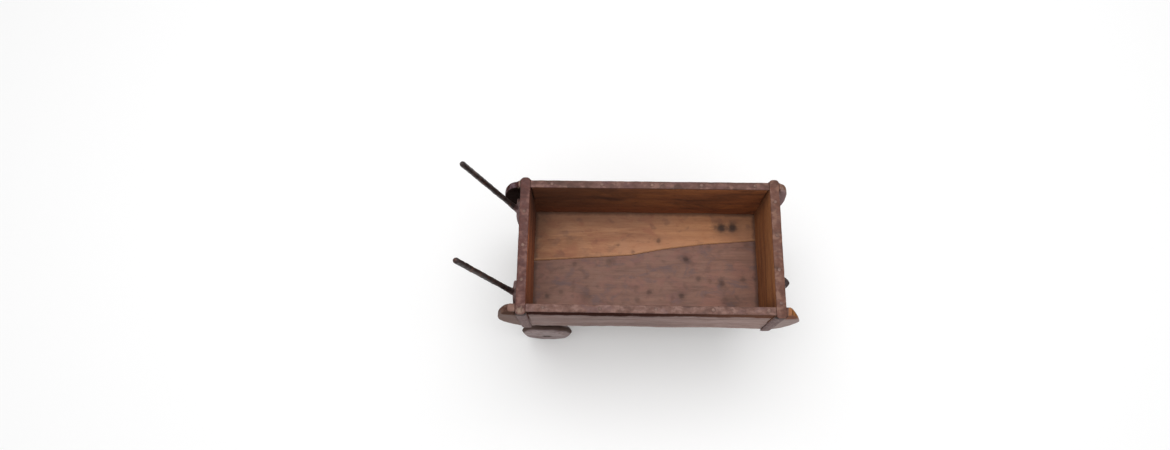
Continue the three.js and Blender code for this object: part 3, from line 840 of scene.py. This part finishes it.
def wood_relief(s, grain, pore, mottle, dent=1.0):
    """Raised fibres and rings, open pores, and shallow knocks."""
    rings, fibre = grain
    knocks = s.bump(mottle, 0.0012 * dent, 0.5)
    ridges = s.bump(rings, 0.0005, 0.5, knocks)
    fibres = s.bump(fibre, 0.00025, 0.6, ridges)
    return s.bump(s.minus(1.0, pore), 0.0002, 0.4, fibres)


def finish_wood(s, colour, relief, mottle, smooth, rough, gloss):
    return s.finish(colour, s.step(mottle, 0.3, 0.7, rough, smooth), relief, specular=gloss)


# Each pair of tones is for the rear ear and the front ear of a side board.
EAR_FACES = {"right": ("5c453b", "91817c"), "left": ("5d433a", "786867")}
# The ears' inner faces carry painted shade; the rear ear of the left board is near-black with painted
# shadow.
EAR_INSIDE_SHADES = {"right": ("55423a", "5f4a3f"), "left": ("140d0b", "8a7170")}
EAR_EDGES = {"right": (("4a302a", "73594e"), ("5f3d24", "946237")),
             "left": (("3f2523", "67545a"), ("6d4e3d", "806a62"))}


def side_outer_face(s, x, mottle):
    """Grey-mauve, with brown and dark patches, lighter towards the front."""
    colour, grain = grain_tone(s, ("67554f", "7d6a64", "8b7974", "806e6b"),
                               45, 1.0, 0.15, at=(0.25, 0.45, 0.6, 0.78))
    colour = s.shade(colour, s.step(x, -0.12, 0.13),
                     [(0.0, (0.86, 0.78, 0.76)), (0.45, (0.9, 0.81, 0.8)), (1.0, (1.2, 1.09, 1.06))])
    colour = s.tint(colour, "7d625a", mottle, 0.5, 0.75, 0.6)
    blotch = s.noise((150, 150, 200), 3, 0.6)
    return s.tint(colour, "54443e", blotch, 0.6, 0.75, 0.5), grain


def side_inner_face(s, x, z):
    """Dark red-brown, lighter towards the front, with clouds of dirt and a paler foot of painted light
    bounced up from the floor.
    """
    colour, _ = grain_tone(s, ("4e2c1a", "6a3d25", "7b4a2b", "5f3823"), 40, 1.6, 0.25)
    colour = s.shade(colour, s.step(x, -0.13, 0.12), [(0.0, 0.68), (1.0, (1.65, 1.65, 1.35))])
    cloud = s.noise((18, 30, 30), 4, 0.6, 1.0)
    colour = s.tint(colour, "3c2116", cloud, 0.5, 0.7, 0.65)
    # Painted bounce light: the foot of the wall is lightened where light comes up off the floor.
    return s.tint(colour, "8a4d2c", z, WALL_BOTTOM + 0.035, WALL_BOTTOM, 0.5)


def weathered_wood(side):
    """Side board: grey-mauve outside, dark under its strip with iron stain and painted shadow,
    red-brown inside, its ears worn and bare.
    """
    s = Shader(f"side_board_{side}", (0.31, 0.17, 0.0) if side == "right" else (0.83, 0.0, 0.41))
    x, y, z = s.axes()
    depth = s.times(y, SIDES[side])
    length = s.math("ABSOLUTE", x)
    mottle = s.noise((45, 45, 60), 4, 0.6, 0.5)
    outer, grain = side_outer_face(s, x, mottle)
    inside = s.step(depth, SIDE_MIDDLE + 0.001, SIDE_MIDDLE - 0.001)
    in_box = s.times(inside, s.step(length, INNER_X + 0.003, INNER_X + 0.001))
    colour = s.mix(in_box, outer, side_inner_face(s, x, z))

    # The dark band just under the rim strip is partly iron stain and partly painted shadow of the
    # strip.
    lower = s.plus(z, s.ragged(s.noise(55, 3, 0.6, 0.3), 0.018))
    under_strip = s.step(lower, WALL_TOP - 0.023, WALL_TOP - 0.013, 0.94)
    stain_and_shadow = s.times(under_strip, s.minus(1.0, in_box))
    stain = s.tones(s.step(x, -0.05, 0.13), ("2a0f09", "402319", "5c3b2c"), (0.0, 0.6, 1.0))
    colour = s.mix(stain_and_shadow, colour, stain)

    on_ear = s.step(length, OUTER_X - 0.001, OUTER_X + 0.0005)
    ahead = s.step(x, -0.01, 0.01)
    face, back = (s.mix(ahead, *tones[side]) for tones in (EAR_FACES, EAR_INSIDE_SHADES))
    colour = s.mix(s.times(on_ear, 0.6), colour, face)
    if side == "right":
        upper_arris = s.step(lower, WALL_TOP - 0.026, WALL_TOP - 0.015, 0.85)
        colour = s.mix(s.times(s.times(on_ear, ahead), upper_arris), colour, "744a38")
    # Paints the shaded tones on the inner faces of the ears.
    shaded_ear_back = s.times(s.times(on_ear, inside), 0.95)
    colour = s.mix(shaded_ear_back, colour, back)
    off_middle = s.math("ABSOLUTE", s.minus(depth, SIDE_MIDDLE))
    on_edge = s.times(on_ear, s.step(off_middle, HALF_THICK - 0.0008, HALF_THICK - 0.0022))
    worn = s.step(s.noise(170, 3, 0.6, 0.3), 0.35, 0.65)
    rear_edge, front_edge = (s.mix(worn, *tones) for tones in EAR_EDGES[side])
    colour = s.mix(s.times(on_edge, 0.9), colour, s.mix(ahead, rear_edge, front_edge))

    pore = pores(s)
    colour = s.mix(s.times(pore, 0.55), colour, "2e1f19")
    # Dirt and painted shade darken the hollows.
    colour = s.curved(colour, "2a1b15", *DIRT_AND_SHADE_IN_HOLLOWS, 0.75)
    colour = s.curved(colour, "a08474", 0.53, 0.6, 0.25)
    gloss = s.step(s.math("MAXIMUM", stain_and_shadow, shaded_ear_back), 0.0, 1.0, 0.0, 0.35)
    return finish_wood(s, colour, wood_relief(s, grain, pore, mottle), mottle, 0.72, 0.92, gloss)


END_TONES = {"front": ("6a4020", "8c5732", "9e693e", "7c4c2b"),
             "rear": ("5c3320", "84492b", "9a5b38", "70402a")}


def cut_end(s, z):
    """Grey-mauve end grain: arcs of the growth rings, open pores, and painted shadow under the strip.
    """
    arcs = s.noise((260, 20, 90), 3, 0.6, 1.5)
    speck = s.noise(700, 3, 0.7)
    colour = s.tones(arcs, ("523d3b", "6b5451", "7d6763"))
    colour = s.tint(colour, "4e3f3c", speck, 0.5, 0.7, 0.5)
    # Painted shadow: a dark band just under the end of the rim strip.
    return s.tint(colour, "22120d", z, WALL_TOP - 0.010, WALL_TOP - 0.005, 0.9)


def end_wood(end):
    """End board: golden-brown face inside, dark outside, grey-mauve end grain."""
    shift = (0.0, 0.57, 0.23) if end == "front" else (0.44, 0.0, 0.71)
    s = Shader(f"end_board_{end}", shift, ALONG_Y)
    x, y, z = s.axes()
    width = s.math("ABSOLUTE", y)
    inner, grain = grain_tone(s, END_TONES[end], 60, 1.5)
    outer, _ = grain_tone(s, ("4a3830", "6e5850", "83706a", "6a564f"), 60, 1.2)
    inside = s.step(s.times(x, ENDS[end]), END_MIDDLE + 0.001, END_MIDDLE - 0.001)
    colour = s.mix(inside, outer, inner)
    # Painted shade: the inner face darkens towards the side walls, where the corners get less light.
    corner = s.step(width, 0.050, 0.0675, 0.5)
    colour = s.mix(s.times(corner, inside), colour, "4a2a1b")
    if end == "rear":
        # Painted shade on the rear board's inner face towards the back wall.
        back_corner_shade = s.step(y, 0.0, 0.06, 0.7)
        colour = s.mix(s.times(back_corner_shade, inside), colour, "3c2115")
    lower = s.plus(z, s.ragged(s.noise(60, 3, 0.6, 0.3), 0.03))
    under_strip = s.step(lower, WALL_TOP - 0.02, WALL_TOP - 0.008, 0.8)
    colour = s.mix(s.times(under_strip, s.minus(1.0, inside)), colour, "432d24")
    past_walls = s.step(width, OUTER_Y - 0.001, OUTER_Y + 0.0012)
    colour = s.mix(past_walls, colour, cut_end(s, z))
    pore = pores(s)
    colour = s.mix(s.times(pore, 0.5), colour, "2b1a12")
    # Dirt and painted shade darken the hollows.
    colour = s.curved(colour, "281811", *DIRT_AND_SHADE_IN_HOLLOWS, 0.75)
    mottle = s.noise((50, 50, 60), 4, 0.6, 0.5)
    return finish_wood(s, colour, wood_relief(s, grain, pore, mottle), mottle, 0.7, 0.9, 0.35)


FLOOR_MARKS = {  # knots, nail holes and drips: x, y and radius in mm, and darkness
    "left": [(90, 50.8, 3.6, 0.75), (96.5, 50.2, 6.6, 1.15), (110.5, 50.5, 6.6, 1.15),
             (103.5, 50, 4, 0.8), (-34, 26, 2.4, 0.5), (17, 32, 3.2, 0.75), (-15, 16.5, 2.6, 0.6),
             (-95, 30, 6, 0.25)],
    "right": [(-88, 1, 3.2, 0.6), (51, 9, 4.2, 0.85), (-104, -35, 3, 0.5), (-121, -41, 3.2, 0.65),
              (5, -34, 3.6, 0.75), (45, -38, 4, 0.85), (66, -16, 3.6, 0.7), (95, -22, 4.2, 0.75),
              (121, -16, 3.6, 0.55), (80, -19, 2.6, 0.45), (-10, -44, 3.6, 0.55),
              (-45, 4, 4.4, 0.5), (-73, -41, 7.5, 0.4), (104, -46, 12, 0.45)],
}
FLOOR_TONES = {"left": ("8c5f46", "a37353", "b78560", "9c6f54"),
               "right": ("684c42", "7e5d51", "886557", "74574f")}
MARK_WOBBLE = 4 * MM
JOINT_SLANT = 0.104  # how far the floor joint moves to the left for each metre forward


def floor_marks(s, marks):
    """Dark marks on the floor with wobbling outlines, fainter round their edges."""
    wobble = s.ragged(s.noise((300, 420, 300), 3, 0.6, shift=UNMOVED), MARK_WOBBLE)
    total = 0.0
    for x, y, radius, darkness in marks:
        radius *= MM
        away = s.plus(s.vector("DISTANCE", s.place, (x * MM, y * MM, FLOOR_TOP)), wobble)
        core = s.step(away, radius * 1.3, radius * 0.3, 0.65 * darkness)
        halo = s.step(away, radius * 2.4, radius * 0.7, 0.25 * darkness)
        total = s.math("MAXIMUM", total, s.plus(core, halo))
    return total


def golden_face(s, colour, x, y, mottle):
    """Far floor board: a brighter band beside the joint, duller towards the wall."""
    colour = s.tint(colour, "9a6550", mottle, 0.48, 0.7, 0.6)
    drift = s.ragged(s.noise((12, 40, 40), 3, 0.5, 0.5), 0.03)
    from_joint = s.minus(s.plus(y, drift), s.times(x, JOINT_SLANT))
    band = s.times(s.step(from_joint, 0.045, 0.022, 0.7), s.step(x, -0.07, 0.0, 1.0, 0.1))
    colour = s.mix(band, colour, "b98561")
    colour = s.tint(colour, "8f674f", from_joint, 0.045, 0.065, 0.5)
    return s.shade(colour, s.step(x, -0.14, 0.14),
                   [(0.0, (0.9, 0.88, 0.9)), (0.5, (1.03, 1.03, 1.08)),
                    (0.9, (1.1, 1.05, 0.98)), (1.0, (0.85, 0.83, 0.85))])


def mauve_face(s, colour, x, y, mottle):
    """Near floor board: greyer and redder clouds, lighter towards the front and the near wall."""
    colour = s.tint(colour, "6d5a5a", mottle, 0.47, 0.66, 0.75)
    reddish = s.noise((40, 50, 60), 3, 0.6, 0.4, (0.5, 0.2, 0.0))
    colour = s.tint(colour, "8b6257", reddish, 0.48, 0.64, 0.55)
    colour = s.shade(colour, s.step(x, -0.14, 0.14),
                     [(0.0, 1.0), (0.12, 0.96), (0.5, 1.04), (0.75, 0.98), (0.95, (1.15, 1.11, 1.06))])
    return s.shade(colour, s.step(y, -0.0675, 0.0), [(0.0, 1.08), (1.0, 0.96)])


def floor_wood(side):
    """Floor board: the far one warm and golden, the near one mauve-brown and spotted."""
    golden = side == "left"
    s = Shader(f"floor_board_{side}", (0.12, 0.66, 0.0) if golden else (0.91, 0.0, 0.35))
    x, y, z = s.axes()
    colour, grain = grain_tone(s, FLOOR_TONES[side], 40, 1.6, 0.12, 0.1,
                               at=(0.25, 0.42, 0.58, 0.75))
    mottle = s.noise((38, 60, 60), 4, 0.62, 0.6)
    colour = (golden_face if golden else mauve_face)(s, colour, x, y, mottle)

    smudge = s.noise((75, 90, 90), 2, 0.5, 0.3)
    colour = s.tint(colour, "664b42", smudge, 0.54, 0.72, 0.35 if golden else 0.5)
    # Painted shade in the floor's rear corner, deeper towards the back wall.
    rear_corner_shade = s.times(s.step(x, -0.108, -0.137), s.step(y, -0.02, 0.06, 0.5, 0.1))
    colour = s.mix(rear_corner_shade, colour, "5b402f")
    pore = pores(s)
    colour = s.mix(s.times(pore, 0.25), colour, "3a241b")
    colour = s.mix(s.times(floor_marks(s, FLOOR_MARKS[side]), 0.9), colour, "35241f")

    # Along the foot of the walls the floor darkens, partly from dirt and partly as painted shade where
    # the walls meet it.
    ends_away = s.minus(INNER_X, s.math("ABSOLUTE", x))
    sides_away = s.minus(INNER_Y, s.math("ABSOLUTE", y))
    fray = s.ragged(s.noise(140, 3, 0.6, shift=UNMOVED), 0.004)
    from_wall = s.plus(s.math("MINIMUM", ends_away, sides_away), fray)
    colour = s.tint(colour, "4a2f22", from_wall, 0.005, 0.0, 0.65)
    underside, _ = grain_tone(s, ("4c3a31", "6b5549", "7d685c", "65524a"), 60, 1.2)
    colour = s.mix(s.step(z, FLOOR_TOP - 0.003, FLOOR_TOP - 0.005), colour, underside)
    colour = s.curved(colour, "b98963" if golden else "8b6c5f", 0.51, 0.56, 0.6)
    return finish_wood(s, colour, wood_relief(s, grain, pore, mottle, 0.6), mottle, 0.62, 0.85, 0.4)


def batten_wood(end):
    """Rough sawn timber under the floor."""
    s = Shader(f"batten_{end}", (0.2, 0.0, 0.6 if end == "front" else 0.1), ALONG_Y)
    colour, grain = grain_tone(s, ("54402f", "72594a", "866c5a"), 90, 1.0,
                               at=(0.3, 0.5, 0.7))
    mottle = s.noise(60, 4, 0.6, 0.5)
    colour = s.tint(colour, "4a372d", mottle, 0.5, 0.72, 0.5)
    pore = pores(s)
    colour = s.mix(s.times(pore, 0.5), colour, "2a1c15")
    # Dirt and painted shade darken the hollows.
    colour = s.curved(colour, "2a1b14", *DIRT_AND_SHADE_IN_HOLLOWS, 0.7)
    saw_marks = s.noise(stretched(s, 420, 25), 2, 0.5, 0.3)
    relief = s.bump(saw_marks, 0.0004, 0.5, wood_relief(s, grain, pore, mottle))
    return finish_wood(s, colour, relief, mottle, 0.75, 0.92, 0.3)


TOOL_RINGS = 0.0016  # pitch of the turning marks
# The radius where a tread's dirt and painted shadow start and where they are full, and their two tones.
FRONT_TREAD = ((0.0262, 0.0282), ("1f1413", "3d2c2b"))
REAR_TREAD = ((0.0295, 0.032), ("291914", "4b382f"))


def wheel_wood(node):
    """Turned disc cut from a plank: grain runs straight across it, its tread darkened by dirt and by
    painted shadow.
    """
    centre = middle(node)
    s = Shader(f"{node}_wood", tuple(centre * 7.3))
    colour, grain = grain_tone(s, ("645250", "7e6d6c", "90817f", "756564"), 80, 1.4)
    mottle = s.noise(90, 4, 0.6, 0.5)
    colour = s.tint(colour, "6d564f", mottle, 0.52, 0.72, 0.55)
    flat = s.vector("MULTIPLY", s.vector("SUBTRACT", s.place, tuple(centre)), (1, 0, 1))
    radius = s.vector("LENGTH", flat)
    reach, tones = FRONT_TREAD if node == "front_wheel" else REAR_TREAD
    # The tread is darkened partly by dirt and partly as painted shadow of the tray above.
    tread = s.step(radius, *reach)
    dirt = s.mix(s.noise(160, 3, 0.6, shift=UNMOVED), *tones)
    colour = s.mix(s.times(tread, 0.9), colour, dirt)
    colour = s.tint(colour, "3a2a24", radius, 0.0085, 0.0045, 0.7)
    pore = pores(s)
    colour = s.mix(s.times(pore, 0.5), colour, "33261f")
    groove = s.math("SINE", s.times(radius, 2 * math.pi / TOOL_RINGS))
    relief = s.bump(groove, 0.0001, 0.35, wood_relief(s, grain, pore, mottle, 0.6))
    return finish_wood(s, colour, relief, mottle, 0.7, 0.9, s.step(tread, 0.0, 1.0, 0.1, 0.35))


# ---- Iron ----
STRIP_TONES = {  # dark rust, red rust, mauve scale, rubbed iron
    "right": ("4b2f27", "69473c", "5e4241", "7d5b50"),
    "left": ("432a21", "59382e", "5e3d3c", "785346"),
    "front": ("4a2c20", "623a2b", "593931", "795441"),
    "rear": ("3e1e19", "542b23", "4e2d2a", "6f4539"),
}
TIP_TONES = {  # rear end and front end over the ears: the darker and the brighter of each
    "right": (("5c4036", "80594a"), ("7a4925", "a16328")),
    "left": (("4a2d28", "806453"), ("684838", "84604c")),
}


def rusted_strip(place, shift):
    """Thin strip iron under an even brown-mauve rust, brighter where it runs out over the ears."""
    s = Shader(f"{place}_strip_iron", shift)
    x, _, z = s.axes()
    dark, red, mauve, rubbed = STRIP_TONES[place]
    patch = s.noise((42, 60, 60), 4, 0.6, 0.8)
    speck = s.noise(420, 4, 0.65)
    bloom = s.noise((130, 170, 200), 3, 0.6, 0.3)
    colour = s.tones(patch, (dark, red, mauve))
    colour = s.tint(colour, "452820", speck, 0.55, 0.7, 0.6)
    colour = s.mix(s.step(bloom, 0.5, 0.64, 0.6), colour, rubbed)
    colour = s.mix(s.step(bloom, 0.45, 0.32, 0.5), colour, dark)
    colour = s.curved(colour, "8f6e5e", 0.54, 0.62, 0.5)
    # Painted shade: the strip darkens down its sides, below its lit top.
    colour = s.tint(colour, "38231c", z, RIM_TOP - 0.0006, RIM_TOP - 0.0015, 0.75)
    if place == "rear":
        near_corner = (-END_MIDDLE - 0.001, -OUTER_Y + 0.001, RIM_TOP)
        fray = s.ragged(s.noise((350, 250, 300), 3, 0.6, shift=UNMOVED), 0.012)
        away = s.plus(s.vector("DISTANCE", s.place, near_corner), fray)
        colour = s.tint(colour, "97806f", away, 0.0065, 0.0, 0.65)
    if place in TIP_TONES:
        length = s.plus(s.math("ABSOLUTE", x), s.ragged(bloom, 0.006))
        grain = s.noise(260, 3, 0.6, 0.2)
        rear, front = (s.mix(grain, *tones) for tones in TIP_TONES[place])
        tips = s.mix(s.step(x, -0.01, 0.01), rear, front)
        colour = s.mix(s.step(length, OUTER_X, OUTER_X + 0.002, 0.85), colour, tips)
    pits = s.bump(speck, 0.00018, 0.6, s.bump(patch, 0.0005, 0.5))
    return s.finish(colour, s.step(bloom, 0.35, 0.65, 0.42, 0.62), pits, 0.1, 0.4)


def scale_relief(s, grain, scale):
    """Fine rust grains over the low humps of forge scale."""
    return s.bump(grain, 0.00012, 0.5, s.bump(scale, 0.0004, 0.5))


def dark_iron(name, tones, rust, shift, smooth=0.35, rough=0.6, metallic=0.6):
    """Forged iron: near-black scale with patches of brown rust."""
    s = Shader(name, shift)
    scale = s.noise(120, 4, 0.6, 0.4)
    grain = s.noise(900, 3, 0.7)
    rusty = s.step(s.noise(70, 5, 0.65, 0.6), 0.5, 0.64)
    colour = s.mix(s.times(rusty, 0.8), s.tones(scale, tones), s.mix(grain, *rust))
    colour = s.curved(colour, "83766f", 0.55, 0.64, 0.5)
    roughness = s.plus(s.step(scale, 0.3, 0.7, rough, smooth), s.times(rusty, 0.22))
    relief = scale_relief(s, grain, scale)
    return s.finish(colour, roughness, relief, s.step(rusty, 0.0, 1.0, 0.1, metallic))


def handle_iron():
    """Dark round rods with a rustier, mauve-grey beaten plate at the foot of each."""
    s = Shader("handle_iron")
    z = s.axes()["Z"]
    scale = s.noise(120, 4, 0.6, 0.4)
    grain = s.noise(900, 3, 0.7)
    rod = s.tones(scale, ("211917", "332826", "4b3f3d"))
    plate = s.tones(s.noise(150, 4, 0.65, 0.5), ("4b3735", "6d5350", "83676a"))
    low_down = s.step(s.plus(z, s.ragged(scale, 0.03)), RIM_TOP - 0.006, RIM_TOP - 0.018)
    rusty = s.step(s.noise(90, 5, 0.65, 0.6, (0.3, 0.1, 0.7)), 0.54, 0.66, 0.6)
    colour = s.mix(rusty, s.mix(low_down, rod, plate), s.mix(grain, "4a2c20", "7a4a34"))
    rough = s.plus(s.step(scale, 0.3, 0.7, 0.55, 0.38), s.times(low_down, 0.15))
    metallic = s.step(low_down, 0.0, 1.0, 0.15, 0.55)
    return s.finish(colour, rough, scale_relief(s, grain, scale), metallic)


# ---- Each piece's finish ----
def dress(piece, material):
    piece.data.materials.clear()
    piece.data.materials.append(material)


for side in SIDES:
    dress(side_boards[side], weathered_wood(side))
    dress(floor_boards[side], floor_wood(side))
for end in ENDS:
    dress(end_boards[end], end_wood(end))
    dress(battens[end], batten_wood(end))
for i, (place, piece) in enumerate(strips.items()):
    dress(piece, rusted_strip(place, (0.13 * i, 0.29 * i, 0.0)))
for node, piece in wheels.items():
    dress(piece, wheel_wood(node))

strap_finish = dark_iron("strap_iron", ("1f1917", "2f2623", "3f3430"), ("4a2d20", "7b4c35"),
                         (0.1, 0.4, 0.2))
nail_finish = dark_iron("nail_iron", ("50382f", "6f534a", "8e6e62"), ("543b34", "765849"),
                        (0.5, 0.2, 0.3), 0.45, 0.6, 0.25)
handle_finish = handle_iron()
for piece in rim_nails:
    dress(piece, nail_finish)
for piece in [*straps, *bolts, *washers, axle, *screws, *under_nails]:
    dress(piece, strap_finish)
for piece in handles:
    dress(piece, handle_finish)


# ---- Light and floor ----
LAMP_SIZE = (1.6, 1.2)
LAMP_PLACE = (0.0, 0.25, 1.7)
LAMP_AIM = (0, 0, 0.1)
LAMP_POWER = 14
SKY_STRENGTH = 0.8
FLOOR_REACH = 8


def add_lights():
    """A white world and one large soft lamp overhead."""
    scene = bpy.context.scene
    scene.view_settings.view_transform = "Standard"
    scene.world = bpy.data.worlds.new("studio")
    scene.world.use_nodes = True
    background = scene.world.node_tree.nodes["Background"]
    background.inputs["Color"].default_value = (1, 1, 1, 1)
    background.inputs["Strength"].default_value = SKY_STRENGTH
    data = bpy.data.lights.new("soft_box", "AREA")
    data.shape = "RECTANGLE"
    data.size, data.size_y = LAMP_SIZE
    data.energy = LAMP_POWER
    lamp = bpy.data.objects.new("soft_box", data)
    lamp.location = LAMP_PLACE
    lamp.rotation_euler = (Vector(LAMP_AIM) - lamp.location).to_track_quat("-Z", "Y").to_euler()
    scene.collection.objects.link(lamp)


def add_floor():
    """A plain pale floor for the barrow to stand on."""
    r = FLOOR_REACH
    mesh = bpy.data.meshes.new("floor")
    mesh.from_pydata([(-r, -r, 0), (r, -r, 0), (r, r, 0), (-r, r, 0)], [], [(0, 1, 2, 3)])
    s = Shader("floor")
    relief = s.bump(s.noise(60), 0.0001)
    mesh.materials.append(s.finish(0.9, 0.9, relief))
    link("floor", mesh, smooth=False)


add_lights()
add_floor()
